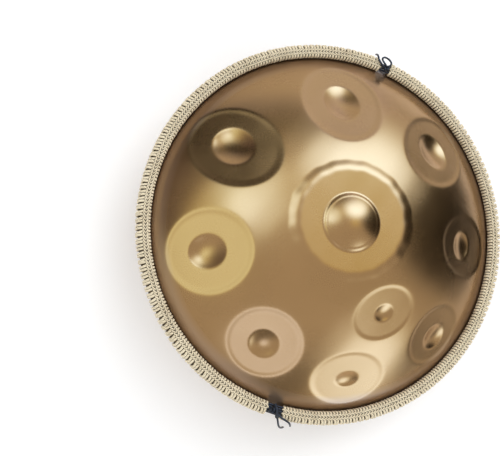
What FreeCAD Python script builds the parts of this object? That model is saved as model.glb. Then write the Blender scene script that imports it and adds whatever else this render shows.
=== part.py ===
import FreeCAD, Part
import math
import os

from FreeCAD import Vector

# A handpan: two drawn steel shells glued flange to flange, with a cream cord trim woven over the rim
# in two halves and laced together with dark cord at two ties.
# Millimetres. +Z is the pan's axis with the ding up, and z = 0 is the flat ring that it rests on.
# Angles are degrees about +Z from +X.

# --- driving dimensions -------------------------------------------------------------------------
SHEET = 1.0                 # steel thickness
RIM_Z = 115.0               # mid-plane of the glued flanges
GLUE = 0.4                  # adhesive thickness between the flanges
FLANGE_R_IN = 271.0
FLANGE_R_OUT = 280.0
DOME_RISE = 112.0           # of the plain top dome above its flange

PORT_R = 50.0               # sound port in the bottom shell
PORT_LIP_R = 7.0            # radius of the rolled lip round the port
PORT_NECK_TOP = 24.0
RING_BLEND_R = 40.0         # radius between the resting ring and the bottom dome
BOTTOM_OVERDRAW = 8.0       # how far the bottom sphere would reach below the resting ring

# Tone fields of the top shell: centre radius, centre angle, half sizes along and across the
# pan's radius, the same for the dimple, and the dimple's shift outward from the field's centre.
FIELDS = {
    "upper_left": (193.7, 143.1, 76.6, 59.7, 33.4, 27.8, 0.0),
    "left": (198.8, 190.2, 67.0, 60.8, 28.6, 24.4, 0.0),
    "lower_left": (202.7, 234.7, 55.3, 55.6, 21.9, 21.5, 0.0),
    "bottom": (221.4, 272.4, 47.8, 57.3, 13.8, 17.4, 0.0),
    "lower_right": (220.0, 312.5, 47.0, 52.0, 19.7, 21.4, 4.0),
    "right": (205.6, 351.6, 60.5, 48.7, 21.4, 22.0, -7.0),
    "upper_right": (197.8, 36.2, 72.2, 58.4, 28.9, 28.3, -3.0),
    "top": (187.7, 86.6, 75.3, 62.8, 34.7, 27.4, -2.0),
    "inner": (137.4, 292.2, 40.3, 50.9, 12.7, 15.0, 0.0),
}
DIMPLE_DEPTH_RATIO = 0.2    # dimple depth over its mean half size
DIMPLE_EDGE = 0.10          # softness of a dimple's edge
FIELD_EDGE = 0.35           # softness of a field's edge, in millimetres of depth
FIELD_SUNK = 0.7            # depth of a field inside its lip
FIELD_LIP = 0.3             # width of that lip, as a share of the field
RIM_FADE = (261.0, 269.0)   # radii over which the fields fade out before the flange

DING_FLAT_R = 86.0          # flat oval round the ding: half its size along x
DING_FLAT_OVAL = 0.94       # its size along y over its size along x
DING_FLAT_X = 2.0           # its centre
DING_FLAT_Y = 3.5
DING_FLAT_Z = 107.5         # its height above the flange mid-plane
SHOULDER_IN = 13.0          # it blends into the dome from this far inside its edge
SHOULDER_OUT = 8.0          # to this far outside it
DING_R = 43.0
DING_STEP = 3.0             # low tier at the foot of the ding
DING_CAP_R = 36.0
DING_CAP_RISE = 9.5

SURFACE_SPOKES = 320        # control points of the top shell's surface round the axis
SURFACE_RINGS = 112         # and outward
APEX_R = 1.0                # flat spot on the axis

# Woven trim: a C section over the flange, round the sides of the gaps at the two ties.
TRIM_R_IN = 269.5
TRIM_R_OUT = 290.5
TRIM_HALF_H = 15.7
TRIM_WALL = 4.0             # of the woven cover over its core
TRIM_CORNER = 9.0
TRIM_FLARE = 1.05           # slope of the trim's inner faces, along the domes
FLARE_REACH = 20.0          # how far inward of the trim those faces are carried
CORE_CORNER = 5.0
CLEARANCE = 0.2             # of the trim from the steel
CREASE = 1.5                # room for the rounded crease between a dome and its flange
UPPER_GAP = (66.5, 70.0)
LOWER_GAP = (248.0, 253.0)

CORD_R = 1.5                # dark tie cord
BEND_SHARE = 0.45           # of a cord's straight run that its bend takes up
LACE_R_MID = 277.0          # the strands across a gap lie on an oval about the flange's edge
LACE_HALF_W = 7.4
LACE_HALF_H = 12.0
LACE_FROM = 125.0           # degrees round that oval, each way from straight outward
LACE_DEPTH = 2.5            # how far the strands run into the trim's ends
UPPER_STRANDS = 11          # strands across each gap
LOWER_STRANDS = 11
KNOT_R = 5.0
KNOT_TILT = 35.0            # of a knot's two crossing turns, in degrees
KNOT_BITE = 0.6             # how far those turns sink into the knot
KNOT_LIFT = 4.2             # knot centre above the strands' crown
WRAP_R = 3.4                # cord wound round the lower tie's standing strands
WRAP_FROM = 118.0           # degrees round the strands' oval where it starts
WRAP_TO = 28.0              # and ends
WRAP_ASIDE = (-3.0, 7.0)    # how far aside it stands at its start and end
WRAP_RUNS = 4


# --- helpers ------------------------------------------------------------------------------------
def polar(radius, degrees, z):
    angle = math.radians(degrees)
    return Vector(radius * math.cos(angle), radius * math.sin(angle), z)


def smooth(low, high, value):
    t = min(1.0, max(0.0, (value - low) / (high - low)))
    return t * t * (3.0 - 2.0 * t)


def soft_floor(value, edge):
    """The value where it is positive and nothing where it is negative, with a rounded corner."""
    return 0.5 * (value + math.hypot(value, edge))


def sphere_radius(chord_radius, rise):
    return (chord_radius ** 2 + rise ** 2) / (2.0 * rise)


def arc(start, middle, end):
    return Part.Arc(start, middle, end).toShape()


def arc_about(centre, radius, start_deg, end_deg):
    points = []
    for degrees in (start_deg, (start_deg + end_deg) / 2.0, end_deg):
        angle = math.radians(degrees)
        points.append(centre + Vector(radius * math.cos(angle), 0, radius * math.sin(angle)))
    return arc(*points)


def turned(wire, start_deg=0.0, sweep_deg=360.0):
    face = Part.Face(wire)
    face.rotate(Vector(), Vector(0, 0, 1), start_deg)
    return face.revolve(Vector(), Vector(0, 0, 1), sweep_deg)


def rounded_box_wire(r_in, r_out, half_h, corner_in, corner_out):
    """Outline in the XZ plane about the flange mid-plane, with rounded corners."""
    corners = [
        (r_out - corner_out, half_h - corner_out, corner_out, 0),
        (r_in + corner_in, half_h - corner_in, corner_in, 90),
        (r_in + corner_in, corner_in - half_h, corner_in, 180),
        (r_out - corner_out, corner_out - half_h, corner_out, 270),
    ]
    arcs = []
    for x, z, radius, start in corners:
        arcs.append(arc_about(Vector(x, 0, RIM_Z + z), radius, start, start + 90))
    edges = []
    for i, edge in enumerate(arcs):
        edges.append(edge)
        tail = edge.Vertexes[-1].Point
        head = arcs[(i + 1) % 4].Vertexes[0].Point
        edges.append(Part.LineSegment(tail, head).toShape())
    return Part.Wire(edges)


def ring_sector(wire, gap_before, gap_after):
    """Revolve a section from the end of one gap to the start of the next."""
    start = gap_before[1]
    sweep = (gap_after[0] - start) % 360.0
    return turned(wire, start, sweep)


def tube(points, radius):
    """A cord through the points: straight runs joined by tangent arcs."""
    runs = []
    here = points[0]
    for before, corner, after in zip(points, points[1:], points[2:]):
        back = (before - corner)
        ahead = (after - corner)
        reach = BEND_SHARE * min(back.Length, ahead.Length)
        entry = corner + back.normalize() * reach
        leave = corner + ahead.normalize() * reach
        half_turn = (math.pi - back.getAngle(ahead)) / 2.0
        bend = reach / math.tan(half_turn)
        print("bend radius %.1f mm" % bend)
        to_centre = (back + ahead).normalize()
        centre = corner + to_centre * (bend / math.cos(half_turn))
        middle = centre - to_centre * bend
        runs.append(Part.LineSegment(here, entry).toShape())
        runs.append(arc(entry, middle, leave))
        here = leave
    runs.append(Part.LineSegment(here, points[-1]).toShape())
    path = Part.Wire(runs)
    start = points[0]
    ring = Part.Wire(Part.makeCircle(radius, start, points[1] - start))
    pipe = path.makePipeShell([ring], True, True)
    expected = math.pi * radius ** 2 * path.Length
    print("cord length %.1f mm, volume ratio %.3f" % (path.Length, pipe.Volume / expected))
    return pipe


def jointed_tube(points, radius):
    """A cord with sharp turns: a cylinder for each run and a ball at each end."""
    pieces = [Part.makeSphere(radius, point) for point in points]
    for start, end in zip(points, points[1:]):
        pieces.append(Part.makeCylinder(radius, (end - start).Length, start, end - start))
    return pieces[0].fuse(pieces[1:]).removeSplitter()


# --- top shell ----------------------------------------------------------------------------------
TOP_FLANGE_Z = RIM_Z + GLUE / 2.0 + SHEET
TOP_SPHERE_R = sphere_radius(FLANGE_R_IN, DOME_RISE)
TOP_CENTRE_Z = TOP_FLANGE_Z + DOME_RISE - TOP_SPHERE_R


def plain_dome(radius):
    return TOP_CENTRE_Z + math.sqrt(TOP_SPHERE_R ** 2 - radius ** 2)


def make_field(radius, degrees, half_u, half_v, dimple_u, dimple_v, dimple_shift):
    """A flat oval on the dome: its plane, its own axes and its dimple, as a height function."""
    centre = polar(radius, degrees, plain_dome(radius))
    normal = (centre - Vector(0, 0, TOP_CENTRE_Z)).normalize()
    across = polar(1.0, degrees + 90.0, 0.0)
    along = across.cross(normal)
    sagitta = (half_u ** 2 + half_v ** 2) / (4.0 * TOP_SPHERE_R)
    depth = DIMPLE_DEPTH_RATIO * (dimple_u + dimple_v) / 2.0

    def height(x, y, base):
        offset = Vector(x, y, base) - centre
        u = offset.dot(along)
        v = offset.dot(across)
        inside = 1.0 - (u / half_u) ** 2 - (v / half_v) ** 2
        cut = soft_floor(sagitta * inside, FIELD_EDGE) + FIELD_SUNK * smooth(0.0, FIELD_LIP, inside)
        inside = 1.0 - ((u - dimple_shift) / dimple_u) ** 2 - (v / dimple_v) ** 2
        sunk = depth * soft_floor(inside, DIMPLE_EDGE)
        weight = 1.0 - smooth(RIM_FADE[0], RIM_FADE[1], math.hypot(x, y))
        return base - weight * (cut + sunk) / normal.z

    return height


def ding_height(x, y, base):
    radius = math.hypot(x, y)
    beyond = math.hypot(x - DING_FLAT_X, (y - DING_FLAT_Y) / DING_FLAT_OVAL) - DING_FLAT_R
    weight = 1.0 - smooth(-SHOULDER_IN, SHOULDER_OUT, beyond)
    raised = RIM_Z + DING_FLAT_Z
    raised += DING_STEP * (1.0 - smooth(DING_CAP_R, DING_R, radius))
    raised += DING_CAP_RISE * max(0.0, 1.0 - (radius / DING_CAP_R) ** 2)
    return base + weight * (raised - base)


def top_height(x, y, fields):
    radius = math.hypot(x, y)
    if radius > FLANGE_R_IN:
        return TOP_FLANGE_Z
    height = ding_height(x, y, plain_dome(radius))
    for field in fields:
        height = field(x, y, height)
    return height


def sheet_drop(radius):
    """The sheet's thickness measured straight down."""
    if radius > FLANGE_R_IN:
        return SHEET
    return SHEET * TOP_SPHERE_R / math.sqrt(TOP_SPHERE_R ** 2 - radius ** 2)


def top_surface(fields, under):
    """The shell's outer face from the axis to the flange's edge, or its inner face if under."""
    turn = 2.0 * math.pi / SURFACE_SPOKES
    # A round spline runs inside its control points by this ratio.
    pull = 3.0 / (2.0 + math.cos(turn))
    poles = []
    for i in range(SURFACE_SPOKES):
        spoke = []
        for j in range(SURFACE_RINGS):
            radius = APEX_R + (FLANGE_R_OUT - APEX_R) * j / (SURFACE_RINGS - 1)
            x = radius * math.cos(i * turn)
            y = radius * math.sin(i * turn)
            z = top_height(x, y, fields)
            if under:
                z = max(z - sheet_drop(radius), TOP_FLANGE_Z - SHEET)
            spoke.append(Vector(x * pull, y * pull, z))
        poles.append(spoke)
    round_mults = [1] * (SURFACE_SPOKES + 1)
    round_knots = [float(k) for k in range(SURFACE_SPOKES + 1)]
    out_mults = [4] + [1] * (SURFACE_RINGS - 4) + [4]
    out_knots = [float(k) for k in range(SURFACE_RINGS - 2)]
    surface = Part.BSplineSurface()
    surface.buildFromPolesMultsKnots(
        poles, round_mults, out_mults, round_knots, out_knots, True, False, 3, 3)
    return surface


def top_shell():
    fields = [make_field(*sizes) for sizes in FIELDS.values()]
    faces = []
    rims = []
    for under in (False, True):
        surface = top_surface(fields, under)
        faces.append(surface.toShape())
        apex = surface.vIso(0.0).toShape()
        faces.append(Part.Face(Part.Wire(apex)))
        rims.append(surface.vIso(surface.bounds()[3]).toShape())
    faces.append(Part.makeRuledSurface(rims[0], rims[1]))
    shell = Part.Compound(faces)
    shell.sewShape()
    solid = Part.Solid(shell.Shells[0])
    if solid.Volume < 0:
        solid.reverse()
    return solid


# --- bottom shell -------------------------------------------------------------------------------
def bottom_shell():
    """Turned profile: flange, dome, flat resting ring and the lip rolled up into the port."""
    low = RIM_Z - GLUE / 2.0 - SHEET
    radius = sphere_radius(FLANGE_R_IN, low + BOTTOM_OVERDRAW)
    centre = Vector(0, 0, radius - BOTTOM_OVERDRAW)
    blend_x = math.sqrt((radius - RING_BLEND_R) ** 2 - (centre.z - RING_BLEND_R) ** 2)
    blend = Vector(blend_x, 0, RING_BLEND_R)
    toward = math.degrees(math.atan2(blend.z - centre.z, blend.x))
    lip = Vector(PORT_R + PORT_LIP_R, 0, PORT_LIP_R)

    def chain(inset, flange_z):
        """One face of the sheet, from the flange inward to the top of the neck."""
        shell_r = radius - inset
        rim_x = math.sqrt(shell_r ** 2 - (flange_z - centre.z) ** 2)
        rim_deg = math.degrees(math.atan2(flange_z - centre.z, rim_x))
        edges = [
            Part.LineSegment(Vector(FLANGE_R_OUT, 0, flange_z), Vector(rim_x, 0, flange_z)).toShape(),
            arc_about(centre, shell_r, rim_deg, toward),
            arc_about(blend, RING_BLEND_R - inset, toward, -90.0),
            Part.LineSegment(Vector(blend.x, 0, inset), Vector(lip.x, 0, inset)).toShape(),
            arc_about(lip, PORT_LIP_R - inset, -90.0, -180.0),
            Part.LineSegment(
                Vector(PORT_R + inset, 0, lip.z), Vector(PORT_R + inset, 0, PORT_NECK_TOP)).toShape(),
        ]
        return edges

    outside = chain(0.0, low)
    inside = chain(SHEET, low + SHEET)
    edge = Part.LineSegment(Vector(FLANGE_R_OUT, 0, low), Vector(FLANGE_R_OUT, 0, low + SHEET)).toShape()
    neck = Part.LineSegment(
        Vector(PORT_R, 0, PORT_NECK_TOP), Vector(PORT_R + SHEET, 0, PORT_NECK_TOP)).toShape()
    return turned(Part.Wire(Part.__sortEdges__(outside + inside + [edge, neck])))


def flange_adhesive():
    bead = Part.makeCylinder(FLANGE_R_OUT, GLUE, Vector(0, 0, RIM_Z - GLUE / 2.0))
    return bead.cut(Part.makeCylinder(FLANGE_R_IN, GLUE, Vector(0, 0, RIM_Z - GLUE / 2.0)))


# --- rim trim -----------------------------------------------------------------------------------
def steel_clearance():
    """The space that the flanges and the two sloping shells need inside the trim."""
    half = SHEET + GLUE / 2.0 + CLEARANCE
    inner_r = TRIM_R_IN - FLARE_REACH
    crease_r = FLANGE_R_IN + CREASE
    rise = half + (crease_r - inner_r) * TRIM_FLARE
    points = [
        Vector(inner_r, 0, RIM_Z - rise),
        Vector(crease_r, 0, RIM_Z - half),
        Vector(FLANGE_R_OUT + CLEARANCE, 0, RIM_Z - half),
        Vector(FLANGE_R_OUT + CLEARANCE, 0, RIM_Z + half),
        Vector(crease_r, 0, RIM_Z + half),
        Vector(inner_r, 0, RIM_Z + rise),
    ]
    return turned(Part.makePolygon(points + points[:1]))


def trim_half(gap_before, gap_after, lacings):
    """The woven cover of one half and the core inside it."""
    outer = rounded_box_wire(TRIM_R_IN, TRIM_R_OUT, TRIM_HALF_H, CORE_CORNER, TRIM_CORNER)
    inner = rounded_box_wire(
        TRIM_R_IN + TRIM_WALL, TRIM_R_OUT - TRIM_WALL, TRIM_HALF_H - TRIM_WALL,
        CORE_CORNER, CORE_CORNER)
    away = [steel_clearance()] + lacings
    core = ring_sector(inner, gap_before, gap_after)
    cover = ring_sector(outer, gap_before, gap_after).cut([core] + away)
    return cover, core.cut(away)


# --- ties ---------------------------------------------------------------------------------------
def middle_of(gap):
    return (gap[0] + gap[1]) / 2.0


def at_tie(gap, aside, radius, lift):
    """A point beside a tie: millimetres along the rim, from the axis, and above the rim plane."""
    return polar(radius, middle_of(gap) + math.degrees(aside / radius), RIM_Z + lift)


def lacing(gap, strands):
    """One cord that crosses the gap to and fro, from the top of the rim round to its underside."""
    points = []
    side = 1.0
    for k in range(strands):
        turn = math.radians(LACE_FROM * (1.0 - 2.0 * k / (strands - 1)))
        radius = LACE_R_MID + LACE_HALF_W * math.cos(turn)
        lift = LACE_HALF_H * math.sin(turn)
        reach = math.radians(gap[1] - gap[0]) / 2.0 * radius + LACE_DEPTH
        points.append(at_tie(gap, side * reach, radius, lift))
        points.append(at_tie(gap, -side * reach, radius, lift))
        side = -side
    return jointed_tube(points, CORD_R)


def knot(centre, outward, lace):
    """A compact knot of crossing turns, seated over the strands."""
    up = Vector(0, 0, 1)
    ball = Part.makeSphere(KNOT_R, centre)
    turns = []
    for tilt in (-KNOT_TILT, KNOT_TILT):
        ring = Part.makeTorus(KNOT_R - KNOT_BITE, CORD_R, centre, outward)
        ring.rotate(centre, up, tilt)
        turns.append(ring)
    return ball.fuse(turns).cut(lace)


def knot_centre(gap, aside, radius):
    crown = LACE_HALF_H + CORD_R
    return at_tie(gap, aside, radius, crown + KNOT_LIFT)


UPPER_KNOT = knot_centre(UPPER_GAP, -1.0, 275.0)
LOWER_KNOT = knot_centre(LOWER_GAP, -5.5, 281.0)

# Routes of the cord beside the knots: along the rim, from the axis, above the rim plane.
BOW_LOOP = [
    (-2.0, 277.5, 19.5), (-6.5, 281.0, 20.5), (-6.0, 286.5, 19.8), (0.0, 290.5, 18.6),
    (7.0, 291.0, 18.2), (10.5, 287.0, 18.6), (7.5, 282.5, 19.8), (2.0, 279.0, 20.2),
    (0.2, 277.0, 19.2),
]
UPPER_END = [
    (3.0, 274.5, 19.0), (8.5, 277.5, 19.6), (14.0, 282.5, 19.0), (17.0, 288.0, 17.6),
    (18.5, 292.5, 14.5), (19.0, 294.5, 8.0),
]
LOWER_END_LONG = [
    (6.0, 287.0, 11.5), (10.0, 294.0, 10.0), (13.5, 299.0, 5.0), (18.0, 301.5, -1.0),
    (22.5, 302.0, -7.5), (27.0, 301.0, -14.0),
]
LOWER_END_SHORT = [
    (4.0, 283.5, 15.5), (9.5, 286.5, 18.0), (16.5, 288.5, 18.5), (23.0, 290.5, 17.5),
    (28.5, 294.0, 12.5), (30.5, 296.0, 6.0),
]


def tie_cord(gap, route, taken):
    points = [at_tie(gap, *spot) for spot in route]
    return tube(points, CORD_R).cut(taken)


def lower_wrap(lace):
    """Cord wound round the standing strands of the lower tie, as its outer shape."""
    points = []
    for k in range(WRAP_RUNS + 1):
        share = k / WRAP_RUNS
        turn = math.radians(WRAP_FROM + (WRAP_TO - WRAP_FROM) * share)
        aside = WRAP_ASIDE[0] + (WRAP_ASIDE[1] - WRAP_ASIDE[0]) * share
        radius = LACE_R_MID + (LACE_HALF_W + CORD_R + WRAP_R) * math.cos(turn)
        lift = (LACE_HALF_H + CORD_R + WRAP_R) * math.sin(turn)
        points.append(at_tie(LOWER_GAP, aside, radius, lift))
    return jointed_tube(points, WRAP_R).cut(lace)


# --- write one STEP for each piece --------------------------------------------------------------
def build():
    upper_lace = lacing(UPPER_GAP, UPPER_STRANDS)
    lower_lace = lacing(LOWER_GAP, LOWER_STRANDS)
    laces = [upper_lace, lower_lace]
    left_cover, left_core = trim_half(UPPER_GAP, LOWER_GAP, laces)
    right_cover, right_core = trim_half(LOWER_GAP, UPPER_GAP, laces)
    outward_upper = polar(1.0, middle_of(UPPER_GAP), 0.0)
    outward_lower = polar(1.0, middle_of(LOWER_GAP), 0.0)
    upper_knot = knot(UPPER_KNOT, outward_upper, upper_lace)
    wrap = lower_wrap(lower_lace)
    lower_knot = knot(LOWER_KNOT, outward_lower, [lower_lace, wrap])
    return {
        "top_shell": top_shell(),
        "bottom_shell": bottom_shell(),
        "flange_adhesive": flange_adhesive(),
        "left_trim_cover": left_cover,
        "left_trim_core": left_core,
        "right_trim_cover": right_cover,
        "right_trim_core": right_core,
        "upper_tie_lacing": upper_lace,
        "upper_tie_knot": upper_knot,
        "upper_tie_bow": tie_cord(UPPER_GAP, BOW_LOOP, upper_knot),
        "upper_tie_end": tie_cord(UPPER_GAP, UPPER_END, upper_knot),
        "lower_tie_lacing": lower_lace,
        "lower_tie_wrap": wrap,
        "lower_tie_knot": lower_knot,
        "lower_tie_end_long": tie_cord(LOWER_GAP, LOWER_END_LONG, wrap),
        "lower_tie_end_short": tie_cord(LOWER_GAP, LOWER_END_SHORT, wrap),
    }


os.makedirs("parts", exist_ok=True)
for node, shape in build().items():
    if not shape.isValid():
        print("not valid:", node)
    print("%s: %d solid, %.0f mm3" % (node, len(shape.Solids), shape.Volume))
    shape.exportStep("parts/%s.step" % node)
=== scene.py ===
import math
import random

import bpy
import numpy as np
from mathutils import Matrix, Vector


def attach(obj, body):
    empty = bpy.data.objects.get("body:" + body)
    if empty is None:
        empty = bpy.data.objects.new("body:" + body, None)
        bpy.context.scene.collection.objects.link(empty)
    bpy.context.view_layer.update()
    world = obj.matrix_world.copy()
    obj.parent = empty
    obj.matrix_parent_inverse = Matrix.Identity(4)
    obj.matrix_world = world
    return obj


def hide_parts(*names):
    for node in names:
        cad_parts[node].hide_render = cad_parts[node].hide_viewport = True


# A handpan lying on a pale floor, seen from above at a slight tilt. Sizes are millimetres about
# the pan's axis, with z = 0 on the floor, and are scaled to metres when an object is made.

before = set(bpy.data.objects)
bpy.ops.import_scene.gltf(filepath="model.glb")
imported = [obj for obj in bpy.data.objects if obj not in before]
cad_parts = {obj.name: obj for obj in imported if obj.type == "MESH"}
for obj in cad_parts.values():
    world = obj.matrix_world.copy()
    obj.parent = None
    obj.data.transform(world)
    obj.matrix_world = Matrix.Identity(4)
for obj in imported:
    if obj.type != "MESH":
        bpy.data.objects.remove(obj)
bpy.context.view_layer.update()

MM = 0.001
QUIET = random.Random(7)

# --- sizes of the frame that the looks follow ----------------------------------------------------
RIM_Z = 115.0
SHEET = 1.0
GLUE = 0.4
FLANGE_R_IN = 271.0
FLANGE_R_OUT = 280.0
DOME_RISE = 112.0
PORT_R = 50.0
PORT_LIP_R = 7.0
PORT_NECK_TOP = 24.0
RING_BLEND_R = 40.0
BOTTOM_OVERDRAW = 8.0

# Tone fields: centre radius, centre angle, half sizes along and across the pan's radius, the same
# for the dimple, and the dimple's shift outward.
FIELDS = {
    "upper_left": (193.7, 143.1, 76.6, 59.7, 33.4, 27.8, 0.0),
    "left": (198.8, 190.2, 67.0, 60.8, 28.6, 24.4, 0.0),
    "lower_left": (202.7, 234.7, 55.3, 55.6, 21.9, 21.5, 0.0),
    "bottom": (221.4, 272.4, 47.8, 57.3, 13.8, 17.4, 0.0),
    "lower_right": (220.0, 312.5, 47.0, 52.0, 19.7, 21.4, 4.0),
    "right": (205.6, 351.6, 60.5, 48.7, 21.4, 22.0, -7.0),
    "upper_right": (197.8, 36.2, 72.2, 58.4, 28.9, 28.3, -3.0),
    "top": (187.7, 86.6, 75.3, 62.8, 34.7, 27.4, -2.0),
    "inner": (137.4, 292.2, 40.3, 50.9, 12.7, 15.0, 0.0),
}
DIMPLE_DEPTH_RATIO = 0.2
DIMPLE_EDGE = 0.10
FIELD_EDGE = 0.35
FIELD_SUNK = 0.7            # depth of a field inside its lip
FIELD_LIP = 0.3             # width of that lip, as a share of the field
RIM_FADE = (261.0, 269.0)
DING_FLAT_R = 86.0
DING_FLAT_OVAL = 0.94
DING_FLAT_X = 2.0
DING_FLAT_Y = 3.5
DING_FLAT_Z = 107.5
SHOULDER_IN = 13.0
SHOULDER_OUT = 8.0
DING_R = 43.0
DING_STEP = 3.0
DING_CAP_R = 36.0
DING_CAP_RISE = 9.5
WAVE_HEIGHT = 0.035         # height of the sheet's faint waves

TRIM_R_IN = 269.5
TRIM_R_OUT = 290.5
TRIM_HALF_H = 15.7
TRIM_CORNER = 9.0
TRIM_LIP = 5.0
TRIM_FOOT = 5.0             # where the trim's lips end, above and below the rim plane
TRIM_R_MID = 280.0
RIDGE_R = 277.5
UPPER_GAP = (66.5, 70.0)
LOWER_GAP = (248.0, 253.0)

CORD_R = 1.5
LACE_R_MID = 277.0
LACE_HALF_W = 7.4
LACE_HALF_H = 12.0
LACE_FROM = 125.0
LACE_STRANDS = 11
LACE_BITE = 2.0             # how far a strand goes past the gap into the trim
LACE_WOBBLE = 0.4
WRAP_R = 3.4                # cord wound round the lower tie: its outer radius, start, end, and
WRAP_FROM = 118.0           # how far aside it stands at each end
WRAP_TO = 28.0
WRAP_ASIDE = (-3.0, 7.0)
WRAP_TURNS = 12
WRAP_CORD_R = 0.85 * CORD_R
KNOT_SIZE = 1.45            # scale of a knot across, and half its thickness between cord middles
KNOT_HALF_DEPTH = 1.9

# --- camera --------------------------------------------------------------------------------------
CAMERA_AT = Vector((-398.4, -123.5, 1131.2 + RIM_Z)) * MM
CAMERA_LEAN = math.radians(6.4322)      # the camera's up axis leans from +y toward +z by this
CAMERA_SWING = math.radians(13.7345)    # and the camera stands to the left of the pan by this
CAMERA_LENS = 56.52                     # millimetres, for the sensor below
CAMERA_SENSOR = 36.0

CAMERA_UP = Vector((0.0, math.cos(CAMERA_LEAN), math.sin(CAMERA_LEAN)))
CAMERA_RIGHT = Vector((math.cos(CAMERA_SWING), -math.sin(CAMERA_SWING) * math.sin(CAMERA_LEAN),
                       math.sin(CAMERA_SWING) * math.cos(CAMERA_LEAN)))
CAMERA_BACK = CAMERA_RIGHT.cross(CAMERA_UP)


def add_camera():
    data = bpy.data.cameras.new("camera")
    data.lens = CAMERA_LENS
    data.sensor_width = CAMERA_SENSOR
    camera = bpy.data.objects.new("camera", data)
    bpy.context.scene.collection.objects.link(camera)
    matrix = camera.matrix_world.copy()
    for row in range(3):
        matrix[row][0] = CAMERA_RIGHT[row]
        matrix[row][1] = CAMERA_UP[row]
        matrix[row][2] = CAMERA_BACK[row]
        matrix[row][3] = CAMERA_AT[row]
    camera.matrix_world = matrix
    bpy.context.scene.camera = camera


add_camera()


# --- small helpers -------------------------------------------------------------------------------
def smooth(low, high, value):
    t = np.clip((value - low) / (high - low), 0.0, 1.0)
    return t * t * (3.0 - 2.0 * t)


def polar(radius, degrees, z):
    angle = math.radians(degrees)
    return Vector((radius * math.cos(angle), radius * math.sin(angle), z))


def mesh_piece(name, points, faces, material, node=None, strand=None):
    """A smooth-shaded mesh piece from millimetre points, riding on the pan."""
    mesh = bpy.data.meshes.new(name)
    mesh.from_pydata((np.asarray(points) * MM).tolist(), [], faces)
    mesh.polygons.foreach_set("use_smooth", [True] * len(mesh.polygons))
    if strand is not None:
        layer = mesh.attributes.new("strand", "FLOAT_VECTOR", "POINT")
        layer.data.foreach_set("vector", np.asarray(strand, np.float32).ravel())
    mesh.update()
    piece = bpy.data.objects.new(name, mesh)
    bpy.context.scene.collection.objects.link(piece)
    return dress(piece, material, node)


def dress(piece, material, node):
    piece.data.materials.clear()
    piece.data.materials.append(material)
    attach(piece, "root")
    if node:
        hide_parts(node)
    return piece


# --- materials -----------------------------------------------------------------------------------
class Nodes:
    """A short way to write the shader tree of a material or a world."""

    def __init__(self, owner):
        owner.use_nodes = True
        self.owner = owner
        self.tree = owner.node_tree
        self.shader = self.tree.nodes.get("Principled BSDF")

    def add(self, kind, **values):
        node = self.tree.nodes.new(kind)
        for key, value in values.items():
            if hasattr(node, key):
                setattr(node, key, value)
            else:
                node.inputs[key.replace("_", " ")].default_value = value
        return node

    def link(self, output, target):
        self.tree.links.new(output, target)

    def fill(self, node, values):
        """Link or set a node's inputs in order."""
        for socket, value in zip(node.inputs, values):
            if isinstance(value, bpy.types.NodeSocket):
                self.link(value, socket)
            else:
                socket.default_value = value
        return node

    def place(self, kind="Object"):
        return self.add("ShaderNodeTexCoord").outputs[kind]

    def noise(self, coordinates, scale, detail=3.0, roughness=0.5):
        node = self.add("ShaderNodeTexNoise", Scale=scale, Detail=detail, Roughness=roughness)
        self.link(coordinates, node.inputs["Vector"])
        return node.outputs["Fac"]

    def ramp(self, value, stops):
        node = self.add("ShaderNodeValToRGB")
        elements = node.color_ramp.elements
        while len(elements) < len(stops):
            elements.new(0.5)
        for element, (position, colour) in zip(elements, stops):
            element.position = position
            element.color = (*colour, 1.0)
        self.link(value, node.inputs["Fac"])
        return node.outputs["Color"]

    def span(self, value, low, high, start=0.0, end=1.0, kind="LINEAR"):
        """The value from start to end, carried to low to high and held there beyond."""
        node = self.add("ShaderNodeMapRange", interpolation_type=kind, From_Min=start, From_Max=end,
                        To_Min=low, To_Max=high)
        self.link(value, node.inputs["Value"])
        return node.outputs["Result"]

    def math(self, operation, *values):
        return self.fill(self.add("ShaderNodeMath", operation=operation), values).outputs[0]

    def vector(self, operation, *values):
        node = self.fill(self.add("ShaderNodeVectorMath", operation=operation), values)
        return node.outputs["Value" if operation in ("DOT_PRODUCT", "LENGTH") else "Vector"]

    def mix(self, share, first, second):
        return self.fill(self.add("ShaderNodeMixRGB"), (share, first, second)).outputs["Color"]

    def bump(self, height, distance, strength=1.0):
        node = self.add("ShaderNodeBump", Distance=distance, Strength=strength)
        self.link(height, node.inputs["Height"])
        return node.outputs["Normal"]


STEEL_COLOURS = ((0.415, 0.242, 0.100), (0.445, 0.260, 0.110))
STEEL_ROUGHNESS = (0.24, 0.30)
HEAT_TINT_AND_PAINTED_REFLECTION = (0.50, 0.345, 0.225)        # the steel turns pinker, paler and duller near the rim: partly heat tint, partly painted reflection of the bright rope
PALE_RIM_ZONE = (0.246, 0.264)         # radii where that starts and is complete, in metres
HEAT_ROUGHNESS = 0.14
HOLLOW_REACH = 0.0022                   # how far off a cord shades its neighbour, in metres
PAINTED_HOLLOW_SHADE = 0.12                     # painted shade deep between cords, as a share of the dark colour
HOLLOW_SPAN = (0.32, 0.80)              # openness that is still all shade, and no shade at all


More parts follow.
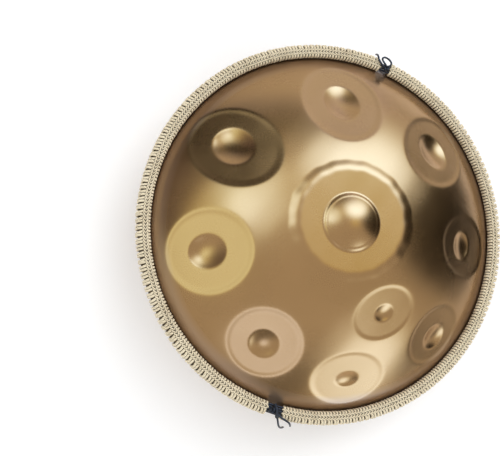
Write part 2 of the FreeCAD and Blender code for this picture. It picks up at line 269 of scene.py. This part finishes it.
def bronze_steel():
    """Nitrided steel: bronze-gold, satin, with faint clouds in colour and in polish, and a pinker,
    paler band near the rim that is partly heat tint and partly painted reflection of the rope.
    """
    n = Nodes(bpy.data.materials.new("bronze_steel"))
    place = n.place()
    clouds = n.noise(place, 9.0, 4.0)
    grain = n.noise(place, 1400.0, 2.0)
    radius = n.vector("LENGTH", n.vector("MULTIPLY", place, (1.0, 1.0, 0.0)))
    near_rim = n.span(radius, 0.0, 1.0, *PALE_RIM_ZONE)
    colour = n.ramp(clouds, list(zip((0.3, 0.7), STEEL_COLOURS)))
    # painted reflection: near the rim the colour turns pinker and paler, standing in for the bright
    # rope seen in the steel there, on top of heat tint
    n.link(n.mix(near_rim, colour, (*HEAT_TINT_AND_PAINTED_REFLECTION, 1.0)), n.shader.inputs["Base Color"])
    n.shader.inputs["Metallic"].default_value = 1.0
    rough = n.math("ADD", n.span(clouds, *STEEL_ROUGHNESS, 0.3, 0.7), n.span(grain, -0.02, 0.02))
    rough = n.math("ADD", rough, n.math("MULTIPLY", near_rim, HEAT_ROUGHNESS))
    n.link(rough, n.shader.inputs["Roughness"])
    n.link(n.bump(grain, 0.00002, 0.5), n.shader.inputs["Normal"])
    return n.owner


def twisted_cord(name, dark, light, plies, lay_mm, roughness, sheen):
    """Cord of twisted plies, from each point's place along and round its strand, with painted shade
    darkening its colour between cords and in the grooves of its twist.
    """
    n = Nodes(bpy.data.materials.new(name))
    place = n.place()
    strand = n.add("ShaderNodeAttribute", attribute_name="strand").outputs["Vector"]
    along, cosine, sine = n.fill(n.add("ShaderNodeSeparateXYZ"), [strand]).outputs
    turn = n.math("ARCTAN2", sine, cosine)
    phase = n.math("ADD", n.math("MULTIPLY", along, math.pi * 2.0 / lay_mm),
                   n.math("MULTIPLY", turn, float(plies)))
    ply = n.math("ABSOLUTE", n.math("SINE", phase))
    fibre = n.noise(place, 2600.0, 3.0)
    patches = n.noise(place, 38.0, 4.0, 0.6)
    # colour darker in the grooves between plies (painted shade), plus random mottling that is the
    # cord's own tone
    groove_shade_and_mottle = n.math("ADD", n.math("MULTIPLY", ply, 0.35), n.math("MULTIPLY", patches, 0.75))
    colour = n.ramp(groove_shade_and_mottle, [(0.25, dark), (0.62, light)])
    # painted shade: the colour darkens where other cords lie close, between ribs and in slits
    openness = n.add("ShaderNodeAmbientOcclusion", samples=6, Distance=HOLLOW_REACH).outputs["AO"]
    shade = (*[PAINTED_HOLLOW_SHADE * c for c in dark], 1.0)
    lit = n.span(openness, 0.0, 1.0, *HOLLOW_SPAN)
    n.link(n.mix(lit, shade, colour), n.shader.inputs["Base Color"])
    n.shader.inputs["Roughness"].default_value = roughness
    n.shader.inputs["Sheen Weight"].default_value = sheen
    n.shader.inputs["Sheen Roughness"].default_value = 0.5
    height = n.math("ADD", ply, n.math("MULTIPLY", fibre, 0.5))
    n.link(n.bump(height, 0.0003, 0.8), n.shader.inputs["Normal"])
    return n.owner


def plain_fibre(name, dark, light, scale, roughness):
    """Matted fibre or set adhesive: mottled and slightly rough."""
    n = Nodes(bpy.data.materials.new(name))
    mottle = n.noise(n.place(), scale, 5.0, 0.6)
    n.link(n.ramp(mottle, [(0.35, dark), (0.65, light)]), n.shader.inputs["Base Color"])
    n.shader.inputs["Roughness"].default_value = roughness
    n.link(n.bump(mottle, 0.0004, 0.6), n.shader.inputs["Normal"])
    return n.owner


STEEL = bronze_steel()
CREAM = twisted_cord("cream_cord", (0.46, 0.35, 0.20), (0.93, 0.82, 0.60),
                     plies=2, lay_mm=7.0, roughness=0.9, sheen=0.15)
NAVY = twisted_cord("dark_cord", (0.002, 0.0025, 0.005), (0.013, 0.015, 0.026),
                    plies=3, lay_mm=5.0, roughness=0.34, sheen=0.02)
CORE = plain_fibre("core_cord", (0.05, 0.035, 0.02), (0.16, 0.12, 0.07), 300.0, 0.95)
ADHESIVE = plain_fibre("adhesive", (0.03, 0.03, 0.03), (0.10, 0.10, 0.09), 120.0, 0.5)


# --- top shell -----------------------------------------------------------------------------------
TOP_FLANGE_Z = RIM_Z + GLUE / 2.0 + SHEET
TOP_SPHERE_R = (FLANGE_R_IN ** 2 + DOME_RISE ** 2) / (2.0 * DOME_RISE)
TOP_CENTRE_Z = TOP_FLANGE_Z + DOME_RISE - TOP_SPHERE_R


def plain_dome(radius):
    return TOP_CENTRE_Z + np.sqrt(TOP_SPHERE_R ** 2 - np.minimum(radius, FLANGE_R_IN) ** 2)


def add_field(x, y, base, radius, degrees, half_u, half_v, dimple_u, dimple_v, dimple_shift):
    """Cut one flat oval and its dimple into the heights."""
    centre = np.array(polar(radius, degrees, float(plain_dome(radius))))
    normal = centre - np.array([0.0, 0.0, TOP_CENTRE_Z])
    normal /= np.linalg.norm(normal)
    across = np.array(polar(1.0, degrees + 90.0, 0.0))
    along = np.cross(across, normal)
    from_centre = np.stack([x - centre[0], y - centre[1], base - centre[2]], -1)
    u = from_centre @ along
    v = from_centre @ across
    inside = 1.0 - (u / half_u) ** 2 - (v / half_v) ** 2
    sagitta = (half_u ** 2 + half_v ** 2) / (4.0 * TOP_SPHERE_R)
    cut = soft_floor(sagitta * inside, FIELD_EDGE)
    cut += FIELD_SUNK * smooth(0.0, FIELD_LIP, inside)
    inside = 1.0 - ((u - dimple_shift) / dimple_u) ** 2 - (v / dimple_v) ** 2
    depth = DIMPLE_DEPTH_RATIO * (dimple_u + dimple_v) / 2.0
    sunk = depth * soft_floor(inside, DIMPLE_EDGE)
    weight = 1.0 - smooth(*RIM_FADE, np.hypot(x, y))
    return base - weight * (cut + sunk) / normal[2]


def soft_floor(value, edge):
    """The value where it is positive and nothing where it is negative, with a rounded corner."""
    return 0.5 * (value + np.sqrt(value ** 2 + edge ** 2))


def top_height(x, y):
    radius = np.hypot(x, y)
    base = plain_dome(radius)
    angle = np.arctan2(y, x)
    hammered = 0.5 * np.sin(13.0 * angle + 1.0) + 0.4 * np.sin(23.0 * angle)
    beyond = np.hypot(x - DING_FLAT_X, (y - DING_FLAT_Y) / DING_FLAT_OVAL) - DING_FLAT_R
    weight = 1.0 - smooth(-SHOULDER_IN, SHOULDER_OUT, beyond + hammered)
    raised = RIM_Z + DING_FLAT_Z + DING_STEP * (1.0 - smooth(DING_CAP_R, DING_R, radius))
    raised += DING_CAP_RISE * np.maximum(0.0, 1.0 - (radius / DING_CAP_R) ** 2)
    height = base + weight * (raised - base)
    for sizes in FIELDS.values():
        height = add_field(x, y, height, *sizes)
    waves = np.sin(0.075 * x + 1.3) * np.sin(0.09 * y) + np.sin(0.13 * x - 0.11 * y + 2.0)
    height += WAVE_HEIGHT * waves * (1.0 - smooth(*RIM_FADE, radius))
    return np.where(radius > FLANGE_R_IN, TOP_FLANGE_Z, height)


def dished_grid(spokes, rings, under):
    """Points of the top shell's outer or inner face: the apex, then ring by ring outward."""
    angles = np.arange(spokes) * 2.0 * math.pi / spokes
    radii = FLANGE_R_OUT * (np.arange(rings) + 1.0) / rings
    x = radii[:, None] * np.cos(angles)
    y = radii[:, None] * np.sin(angles)
    x = np.append(0.0, x.ravel())
    y = np.append(0.0, y.ravel())
    z = top_height(x, y)
    if under:
        level = np.minimum(np.hypot(x, y), FLANGE_R_IN)
        drop = SHEET * TOP_SPHERE_R / np.sqrt(TOP_SPHERE_R ** 2 - level ** 2)
        z = np.maximum(z - drop, TOP_FLANGE_Z - SHEET)
    return np.stack([x, y, z], -1)


def grid_faces(spokes, rings, first, flip):
    """Triangles round the apex, then quads between rings."""
    faces = []
    for i in range(spokes):
        nxt = (i + 1) % spokes
        faces.append((first, first + 1 + i, first + 1 + nxt))
    for j in range(rings - 1):
        row = first + 1 + j * spokes
        for i in range(spokes):
            nxt = (i + 1) % spokes
            faces.append((row + i, row + spokes + i, row + spokes + nxt, row + nxt))
    if flip:
        faces = [face[::-1] for face in faces]
    return faces


def make_top_shell():
    spokes, rings = 480, 216
    outer = dished_grid(spokes, rings, False)
    inner = dished_grid(spokes // 2, rings // 2, True)
    faces = grid_faces(spokes, rings, 0, False)
    faces += grid_faces(spokes // 2, rings // 2, len(outer), True)
    rim = len(outer) - spokes
    hem = len(outer) + len(inner) - spokes // 2
    for i in range(spokes // 2):
        a, b, c = rim + 2 * i, rim + 2 * i + 1, rim + (2 * i + 2) % spokes
        d, e = hem + i, hem + (i + 1) % (spokes // 2)
        faces += [(a, d, b), (b, d, e), (b, e, c)]
    points = np.concatenate([outer, inner])
    mesh_piece("top_shell_bronze", points, faces, STEEL, "top_shell")


# --- bottom shell --------------------------------------------------------------------------------
def arc_points(centre, radius, start, end, count):
    angles = np.radians(np.linspace(start, end, count))
    return [(centre[0] + radius * math.cos(a), centre[1] + radius * math.sin(a)) for a in angles]


def bottom_profile():
    """The sheet's section, as (radius, z) points in order round it."""
    low = RIM_Z - GLUE / 2.0 - SHEET
    reach = low + BOTTOM_OVERDRAW
    radius = (FLANGE_R_IN ** 2 + reach ** 2) / (2.0 * reach)
    centre = (0.0, radius - BOTTOM_OVERDRAW)
    blend_x = math.sqrt((radius - RING_BLEND_R) ** 2 - (centre[1] - RING_BLEND_R) ** 2)
    blend = (blend_x, RING_BLEND_R)
    toward = math.degrees(math.atan2(blend[1] - centre[1], blend[0]))
    lip = (PORT_R + PORT_LIP_R, PORT_LIP_R)

    def chain(inset, flange_z):
        shell_r = radius - inset
        rim_x = math.sqrt(shell_r ** 2 - (flange_z - centre[1]) ** 2)
        rim_deg = math.degrees(math.atan2(flange_z - centre[1], rim_x))
        points = [(FLANGE_R_OUT, flange_z), (FLANGE_R_OUT - 4.0, flange_z)]
        points += arc_points(centre, shell_r, rim_deg, toward, 56)
        points += arc_points(blend, RING_BLEND_R - inset, toward, -90.0, 10)[1:]
        points += [(lip[0] + 6.0, inset)]
        points += arc_points(lip, PORT_LIP_R - inset, -90.0, -180.0, 10)
        points += [(PORT_R + inset, PORT_NECK_TOP)]
        return points

    return chain(0.0, low) + chain(SHEET, low + SHEET)[::-1]


def make_bottom_shell():
    spokes = 320
    profile = bottom_profile()
    count = len(profile)
    points = []
    for i in range(spokes):
        angle = 2.0 * math.pi * i / spokes
        points += [(r * math.cos(angle), r * math.sin(angle), z) for r, z in profile]
    faces = []
    for i in range(spokes):
        a, b = i * count, (i + 1) % spokes * count
        for j in range(count):
            k = (j + 1) % count
            faces.append((a + j, a + k, b + k, b + j))
    mesh_piece("bottom_shell_bronze", points, faces, STEEL, "bottom_shell")


# --- woven rim trim ------------------------------------------------------------------------------
def trim_outline():
    """Half the trim's outer section from straight outward up to the inner lip: points, normals."""
    top = TRIM_HALF_H
    points = [(TRIM_R_OUT, z) for z in np.linspace(0.0, top - TRIM_CORNER, 8)]
    normals = [(1.0, 0.0)] * 8
    for centre, radius, start in (
        ((TRIM_R_OUT - TRIM_CORNER, top - TRIM_CORNER), TRIM_CORNER, 0.0),
        ((TRIM_R_IN + TRIM_LIP, top - TRIM_LIP), TRIM_LIP, 90.0),
    ):
        points += arc_points(centre, radius, start, start + 90.0, 14)
        normals += arc_points((0.0, 0.0), 1.0, start, start + 90.0, 14)
    points += [(TRIM_R_IN, z) for z in np.linspace(top - TRIM_LIP, TRIM_FOOT, 4)]
    normals += [(-1.0, 0.0)] * 4
    return np.array(points), np.array(normals)


OUTLINE, OUTLINE_NORMALS = trim_outline()
OUTLINE_AT = np.append(0.0, np.cumsum(np.hypot(*np.diff(OUTLINE, axis=0).T)))
OUTLINE_END = OUTLINE_AT[-1]
RIDGE_AT = float(np.interp(-RIDGE_R, -OUTLINE[8:36, 0], OUTLINE_AT[8:36]))


def on_trim(start_deg, along, around, lift):
    """Points on the trim: along the rim from an angle, round the section (positive on the ding
    side), and lift off its outer face. Also the outward directions there."""
    side = np.sign(around) + (around == 0)
    at = np.abs(around)
    r = np.interp(at, OUTLINE_AT, OUTLINE[:, 0])
    z = np.interp(at, OUTLINE_AT, OUTLINE[:, 1]) * side
    nr = np.interp(at, OUTLINE_AT, OUTLINE_NORMALS[:, 0])
    nz = np.interp(at, OUTLINE_AT, OUTLINE_NORMALS[:, 1]) * side
    angle = math.radians(start_deg) + along / TRIM_R_MID
    cosine, sine = np.cos(angle), np.sin(angle)
    out = np.stack([nr * cosine, nr * sine, nz], -1)
    points = np.stack([r * cosine, r * sine, z + RIM_Z], -1) + out * lift[..., None]
    return points, out


class Strands:
    """Collects many tubes into one mesh."""

    def __init__(self, sides):
        self.sides = sides
        self.points = []
        self.strand = []
        self.faces = []
        self.count = 0

    def add(self, centres, outward, radius):
        """centres and outward are (strand, point, 3); radius is (strand, point)."""
        strands, length = centres.shape[:2]
        ahead = np.gradient(centres, axis=1)
        ahead /= np.linalg.norm(ahead, axis=-1, keepdims=True)
        side = np.cross(ahead, outward)
        side /= np.linalg.norm(side, axis=-1, keepdims=True)
        up = np.cross(side, ahead)
        turn = np.arange(self.sides) * 2.0 * math.pi / self.sides
        ring = np.cos(turn)[:, None] * side[:, :, None] + np.sin(turn)[:, None] * up[:, :, None]
        points = centres[:, :, None] + ring * radius[:, :, None, None]
        steps = np.linalg.norm(np.diff(centres, axis=1), axis=-1)
        along = np.concatenate([np.zeros((strands, 1)), np.cumsum(steps, 1)], 1)
        along = np.repeat(along[:, :, None], self.sides, 2)
        around = np.broadcast_to(turn, along.shape)
        self.points.append(points.reshape(-1, 3))
        self.strand.append(np.stack([along, np.cos(around), np.sin(around)], -1).reshape(-1, 3))
        for s in range(strands):
            base = self.count + s * length * self.sides
            for p in range(length - 1):
                row = base + p * self.sides
                for i in range(self.sides):
                    j = (i + 1) % self.sides
                    self.faces.append((row + i, row + j, row + self.sides + j, row + self.sides + i))
            last = base + (length - 1) * self.sides
            self.faces.append(tuple(range(base, base + self.sides))[::-1])
            self.faces.append(tuple(range(last, last + self.sides)))
        self.count += strands * length * self.sides

    def piece(self, name, material, node, slot):
        points = np.concatenate(self.points)
        strand = np.concatenate(self.strand)
        return mesh_piece(name, points, self.faces, material, node, strand)


STITCH = 9.8                # length of one repeat of the weave along the rim
RIB_R = 2.0                 # cords wrapped over the rim, two to a repeat
RIB_PINCH = (0.12, 0.42)    # how far a pair is drawn together outside the ridge, least and most
RIB_DIP = 1.3               # how far the ridge presses the ribs in
CHAIN_R = 1.25              # cord of the plaited ridge
CHAIN_WIDTH = 3.0           # how far a stitch's legs spread from the ridge's middle
UNEVEN = 0.12               # spread of the ribs' places and heights


def make_trim(name, gap_before, gap_after, node):
    start = gap_before[1]
    length = math.radians((gap_after[0] - start) % 360.0) * TRIM_R_MID
    repeats = round(length / STITCH)
    pitch = length / repeats
    rng = np.random.default_rng(len(name) + repeats)
    weave = Strands(8)

    # Wraps: pairs of cords, drawn together outside the ridge so that a slit opens between pairs.
    around = np.linspace(-OUTLINE_END, OUTLINE_END, 53)
    middle = (np.arange(repeats) + 0.5) * pitch
    pinch = rng.uniform(*RIB_PINCH, repeats)
    lean = 1.3 + rng.normal(0.0, 0.25, repeats)
    for side in (-1.0, 1.0):
        outer = smooth(RIDGE_AT, RIDGE_AT / 2.0, np.abs(around))
        spread = side * pitch / 4.0 * (1.0 - pinch[:, None] * outer)
        slant = lean[:, None] * (outer - 0.5)
        jitter = rng.normal(0.0, UNEVEN, (repeats, 1))
        along = middle[:, None] + spread + slant + jitter
        dip = RIB_DIP * np.exp(-((np.abs(around) - RIDGE_AT) / 3.2) ** 2)
        lift = -RIB_R - dip + rng.normal(0.0, UNEVEN, (repeats, 1))
        radius = RIB_R * (1.0 + rng.normal(0.0, 0.03, (repeats, 1)))
        radius = np.broadcast_to(radius, along.shape)
        points, out = on_trim(start, along, np.broadcast_to(around, along.shape), lift)
        weave.add(points, out, radius)

    # Plaited ridge on each face: two legs to a stitch, meeting ahead under the next one.
    t = np.linspace(0.0, 1.0, 7)
    stitch = pitch / 2.0
    middle = (np.arange(2 * repeats) + 0.5) * stitch
    for face in (-1.0, 1.0):
        for leg in (-1.0, 1.0):
            wander = rng.normal(0.0, 0.2, (2 * repeats, 1))
            along = middle[:, None] + (t - 0.6) * stitch * 1.5 + wander
            width = CHAIN_WIDTH * (1.0 - smooth(0.2, 1.0, t)) * smooth(-0.35, 0.2, t)
            place = np.broadcast_to(face * (RIDGE_AT + leg * (width + 0.2)), along.shape)
            lift = 0.9 * np.sin(math.pi * np.clip(t * 1.15, 0, 1)) - 1.0
            lift = lift + rng.normal(0.0, 0.15, (2 * repeats, 1))
            radius = np.broadcast_to(CHAIN_R * (1.0 - 0.2 * t), along.shape)
            points, out = on_trim(start, along, place, np.minimum(lift, -0.1))
            weave.add(points, out, radius)
    weave.piece(name, CREAM, node, "cream_cord")


# --- ties ----------------------------------------------------------------------------------------
def middle_of(gap):
    return (gap[0] + gap[1]) / 2.0


def at_tie(gap, aside, radius, lift):
    """A point beside a tie: along the rim, from the axis, and above the rim plane."""
    return polar(radius, middle_of(gap) + math.degrees(aside / radius), RIM_Z + lift)


def cord_curve(name, points, radius, closed=False):
    """A NURBS cord through the points of its route."""
    curve = bpy.data.curves.new(name, "CURVE")
    curve.dimensions = "3D"
    curve.bevel_depth = radius * MM
    curve.bevel_resolution = 3
    curve.resolution_u = 10
    curve.use_fill_caps = True
    spline = curve.splines.new("NURBS")
    spline.points.add(len(points) - 1)
    for spot, point in zip(spline.points, points):
        spot.co = (*(Vector(point) * MM), 1.0)
    spline.order_u = 3
    spline.use_cyclic_u = closed
    spline.use_endpoint_u = not closed
    piece = bpy.data.objects.new(name, curve)
    bpy.context.scene.collection.objects.link(piece)
    return piece


def make_lacing(name, gap, node):
    """One cord to and fro across the gap, from the top of the rim round to its underside."""
    points = []
    side = 1.0
    for k in range(LACE_STRANDS):
        turn = math.radians(LACE_FROM * (1.0 - 2.0 * k / (LACE_STRANDS - 1)))
        radius = LACE_R_MID + LACE_HALF_W * math.cos(turn)
        lift = LACE_HALF_H * math.sin(turn)
        reach = math.radians(gap[1] - gap[0]) / 2.0 * radius + LACE_BITE
        for step in (1.0, 0.45, -0.45, -1.0):
            wobble = QUIET.uniform(-LACE_WOBBLE, LACE_WOBBLE)
            points.append(at_tie(gap, side * step * reach, radius + wobble, lift + wobble))
        side = -side
    lacing = cord_curve(name, points, CORD_R)
    return dress(lacing, NAVY, node)


def make_knot(name, centre, outward_deg, node):
    """An overhand knot drawn tight."""
    points = []
    count = 28              # points round the knot
    out = polar(1.0, outward_deg, 0.0)
    along = polar(1.0, outward_deg + 90.0, 0.0)
    up = Vector((0.0, 0.0, 1.0))
    for k in range(count):
        t = 2.0 * math.pi * k / count
        a = math.sin(t) + 2.0 * math.sin(2.0 * t)
        b = math.cos(t) - 2.0 * math.cos(2.0 * t)
        c = -math.sin(3.0 * t)
        points.append(centre + KNOT_SIZE * (a * along + b * out) + KNOT_HALF_DEPTH * c * up)
    knot = cord_curve(name, points, CORD_R, closed=True)
    return dress(knot, NAVY, node)


LACE_CROWN = LACE_HALF_H + CORD_R
KNOT_LIFT = 4.2
UPPER_KNOT = at_tie(UPPER_GAP, -1.0, 275.0, LACE_CROWN + KNOT_LIFT)
LOWER_KNOT = at_tie(LOWER_GAP, -5.5, 281.0, LACE_CROWN + KNOT_LIFT)

# Routes of the cord beside the knots: along the rim, from the axis, above the rim plane.
BOW_LOOP = [
    (-2.0, 277.5, 19.5), (-6.5, 281.0, 20.5), (-6.0, 286.5, 19.8), (0.0, 290.5, 18.6),
    (7.0, 291.0, 18.2), (10.5, 287.0, 18.6), (7.5, 282.5, 19.8), (2.0, 279.0, 20.2),
    (0.2, 277.0, 19.2),
]
UPPER_END = [
    (3.0, 274.5, 19.0), (8.5, 277.5, 19.6), (14.0, 282.5, 19.0), (17.0, 288.0, 17.6),
    (18.5, 292.5, 14.5), (19.0, 294.5, 8.0),
]
LOWER_END_LONG = [
    (6.0, 287.0, 11.5), (10.0, 294.0, 10.0), (13.5, 299.0, 5.0), (18.0, 301.5, -1.0),
    (22.5, 302.0, -7.5), (27.0, 301.0, -14.0),
]
LOWER_END_SHORT = [
    (4.0, 283.5, 15.5), (9.5, 286.5, 18.0), (16.5, 288.5, 18.5), (23.0, 290.5, 17.5),
    (28.5, 294.0, 12.5), (30.5, 296.0, 6.0),
]


def make_free_cord(name, gap, route, node):
    points = [at_tie(gap, *spot) for spot in route]
    cord = cord_curve(name, points, CORD_R)
    dress(cord, NAVY, node)


def make_wrap(name, node):
    """Cord wound round the standing strands of the lower tie."""
    points = []
    per_turn = 12
    off = WRAP_R - CORD_R
    for k in range(WRAP_TURNS * per_turn + 1):
        share = k / (WRAP_TURNS * per_turn)
        turn = math.radians(WRAP_FROM + (WRAP_TO - WRAP_FROM) * share)
        spin = 2.0 * math.pi * k / per_turn
        aside = WRAP_ASIDE[0] + (WRAP_ASIDE[1] - WRAP_ASIDE[0]) * share
        reach = CORD_R + WRAP_R + off * math.sin(spin)
        radius = LACE_R_MID + (LACE_HALF_W + reach) * math.cos(turn)
        lift = (LACE_HALF_H + reach) * math.sin(turn)
        points.append(at_tie(LOWER_GAP, aside + off * math.cos(spin), radius, lift))
    wrap = cord_curve(name, points, WRAP_CORD_R)
    dress(wrap, NAVY, node)


# --- light and floor -----------------------------------------------------------------------------
def from_camera(azimuth, elevation):
    """A direction given to the right of and above the line from the pan to the camera."""
    a, e = math.radians(azimuth), math.radians(elevation)
    return (CAMERA_RIGHT * math.sin(a) + CAMERA_BACK * math.cos(a)) * math.cos(e) \
        + CAMERA_UP * math.sin(e)


# Soft oval patches of the studio: azimuth, elevation, half width, half height, strength, tint.
# A negative strength is a dark panel.
STUDIO = [
    (49.0, 38.0, 38.0, 25.0, 2.1, (1.0, 1.0, 1.0)),
    (-19.0, 17.0, 10.0, 11.0, 0.5, (1.0, 1.0, 1.2)),
    (-14.0, 27.0, 20.0, 24.0, 1.2, (1.0, 1.0, 0.95)),
    (88.0, 64.0, 35.0, 16.0, 0.1, (1.0, 1.2, 5.0)),
    (62.0, -49.0, 22.0, 24.0, 1.7, (1.0, 0.95, 0.9)),
    (-15.0, -49.0, 15.0, 13.0, 1.25, (1.0, 0.9, 1.05)),
    (-38.0, -2.0, 17.0, 15.0, 0.92, (1.0, 0.96, 0.56)),
    (-34.0, 19.0, 20.0, 22.0, 0.55, (1.0, 1.0, 0.6)),
    (37.0, 10.0, 16.0, 13.0, 0.38, (1.0, 0.90, 0.35)),
    (20.0, 84.0, 50.0, 14.0, 0.25, (1.0, 1.1, 1.8)),
    (180.0, 0.0, 80.0, 80.0, 1.3, (1.0, 1.05, 1.2)),
    (94.0, 7.0, 48.0, 28.0, -1.15, (1.0, 1.0, 1.0)),
    (105.0, -38.0, 18.0, 15.0, -0.60, (1.0, 1.0, 1.0)),
    (-62.0, 26.0, 26.0, 50.0, -0.55, (1.0, 1.05, 1.0)),
    (-33.0, 51.0, 20.0, 17.0, -0.75, (1.0, 1.0, 1.0)),
    (-5.0, 69.0, 70.0, 17.0, -0.50, (1.0, 1.0, 1.1)),
    (-28.0, -71.0, 58.0, 20.0, -0.48, (1.0, 1.0, 1.0)),
]
STUDIO_BASE = (0.72, 0.73, 0.76)
STUDIO_LEAST = (0.02, 0.02, 0.02)
PATCH_CORE = 0.1            # share of a patch that is at full strength before it fades
PATCH_EDGE = 0.1            # a patch ends softly where it would show on the far side
# Reflections turn from gold at mid levels to white at the brightest: green is lifted above a
# level by a share of the rest, and blue has a gain for each level of red.
GREEN_FROM = 1.0
GREEN_LIFT = 0.8
BLUE_GAIN = [(0.80, 1.0), (1.14, 0.72), (1.41, 1.26), (1.60, 1.60), (1.77, 1.83), (2.11, 2.18),
             (3.00, 2.80)]
BACKDROP = (1.0, 1.0, 1.0, 1.0)
FLOOR_HALF = 1.05           # half the floor's side, in metres
FLOOR_TONES = (0.93, 0.95)
FLOOR_GLOW = 0.18


def add_patch(n, direction, total, patch):
    """The light so far with one soft oval patch added."""
    azimuth, elevation, half_width, half_height, strength, tint = patch
    facing = from_camera(azimuth, elevation)
    level = facing.cross(CAMERA_UP).normalized()

    def squared(axis, half_degrees):
        across = n.vector("DOT_PRODUCT", direction, axis / math.sin(math.radians(half_degrees)))
        return n.math("MULTIPLY", across, across)

    from_middle = n.math("ADD", squared(level, half_width),
                         squared(level.cross(facing), half_height))
    oval = n.span(from_middle, 0.0, 1.0, 1.0, PATCH_CORE, "SMOOTHSTEP")
    ahead = n.vector("DOT_PRODUCT", direction, facing)
    front = n.span(ahead, 0.0, 1.0, 0.0, PATCH_EDGE, "SMOOTHSTEP")
    light = [strength * c for c in tint]
    return n.vector("MULTIPLY_ADD", light, n.math("MULTIPLY", oval, front), total)


def make_world():
    """Soft patches of light. Reflections see their colours and other rays see them grey."""
    world = bpy.data.worlds.new("studio")
    bpy.context.scene.world = world
    n = Nodes(world)
    n.tree.nodes.clear()
    direction = n.place("Generated")
    total = n.add("ShaderNodeRGB").outputs[0]
    total.default_value = (*STUDIO_BASE, 1.0)
    for patch in STUDIO:
        total = add_patch(n, direction, total, patch)
    total = n.vector("MAXIMUM", total, STUDIO_LEAST)

    red, green, blue = n.fill(n.add("ShaderNodeSeparateXYZ"), [total]).outputs
    over = n.math("MAXIMUM", n.math("SUBTRACT", green, GREEN_FROM), 0.0)
    green = n.math("ADD", green, n.math("MULTIPLY", over, GREEN_LIFT))
    top = BLUE_GAIN[-1][0]
    stops = [(at / top, (gain / top,) * 3) for at, gain in BLUE_GAIN]
    gain = n.ramp(n.span(red, 0.0, 1.0, 0.0, top), stops)
    blue = n.math("MULTIPLY", blue, n.math("MULTIPLY", gain, top))
    coloured = n.fill(n.add("ShaderNodeCombineXYZ"), (red, green, blue)).outputs[0]

    rays = n.add("ShaderNodeLightPath").outputs
    grey = n.fill(n.add("ShaderNodeRGBToBW"), [total]).outputs[0]
    light = n.add("ShaderNodeBackground")
    n.link(n.mix(rays["Is Glossy Ray"], grey, coloured), light.inputs["Color"])
    backdrop = n.add("ShaderNodeBackground", Color=BACKDROP)
    either = n.add("ShaderNodeMixShader")
    n.fill(either, (rays["Is Camera Ray"], light.outputs[0], backdrop.outputs[0]))
    n.link(either.outputs[0], n.add("ShaderNodeOutputWorld").inputs["Surface"])


def make_floor():
    n = Nodes(bpy.data.materials.new("pale_floor"))
    tone = n.noise(n.place(), 1.5, 2.0)
    stops = [(at, (level,) * 3) for at, level in zip((0.3, 0.7), FLOOR_TONES)]
    n.link(n.ramp(tone, stops), n.shader.inputs["Base Color"])
    n.shader.inputs["Roughness"].default_value = 0.6
    n.shader.inputs["Emission Color"].default_value = (1.0, 1.0, 1.0, 1.0)
    n.shader.inputs["Emission Strength"].default_value = FLOOR_GLOW
    corners = [(-1.0, -1.0), (1.0, -1.0), (1.0, 1.0), (-1.0, 1.0)]
    mesh = bpy.data.meshes.new("floor")
    mesh.from_pydata([(FLOOR_HALF * x, FLOOR_HALF * y, 0.0) for x, y in corners],
                     [], [(0, 1, 2, 3)])
    floor = bpy.data.objects.new("floor", mesh)
    mesh.materials.append(n.owner)
    bpy.context.scene.collection.objects.link(floor)


# --- put it together -----------------------------------------------------------------------------
make_free_cord("upper_bow_cord", UPPER_GAP, BOW_LOOP, "upper_tie_bow")
make_free_cord("upper_end_cord", UPPER_GAP, UPPER_END, "upper_tie_end")
make_free_cord("lower_end_long_cord", LOWER_GAP, LOWER_END_LONG, "lower_tie_end_long")
make_free_cord("lower_end_short_cord", LOWER_GAP, LOWER_END_SHORT,
               "lower_tie_end_short")
make_top_shell()
make_bottom_shell()
make_trim("left_trim_weave", UPPER_GAP, LOWER_GAP, "left_trim_cover")
make_trim("right_trim_weave", LOWER_GAP, UPPER_GAP, "right_trim_cover")
make_lacing("upper_lacing_cord", UPPER_GAP, "upper_tie_lacing")
make_lacing("lower_lacing_cord", LOWER_GAP, "lower_tie_lacing")
make_knot("upper_knot_cord", UPPER_KNOT, middle_of(UPPER_GAP), "upper_tie_knot")
make_knot("lower_knot_cord", LOWER_KNOT, middle_of(LOWER_GAP), "lower_tie_knot")
make_wrap("lower_wrap_cord", "lower_tie_wrap")

for node, material in (("flange_adhesive", ADHESIVE), ("left_trim_core", CORE),
                       ("right_trim_core", CORE)):
    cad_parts[node].data.materials.clear()
    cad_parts[node].data.materials.append(material)

make_world()
make_floor()
bpy.context.scene.view_settings.view_transform = "Standard"
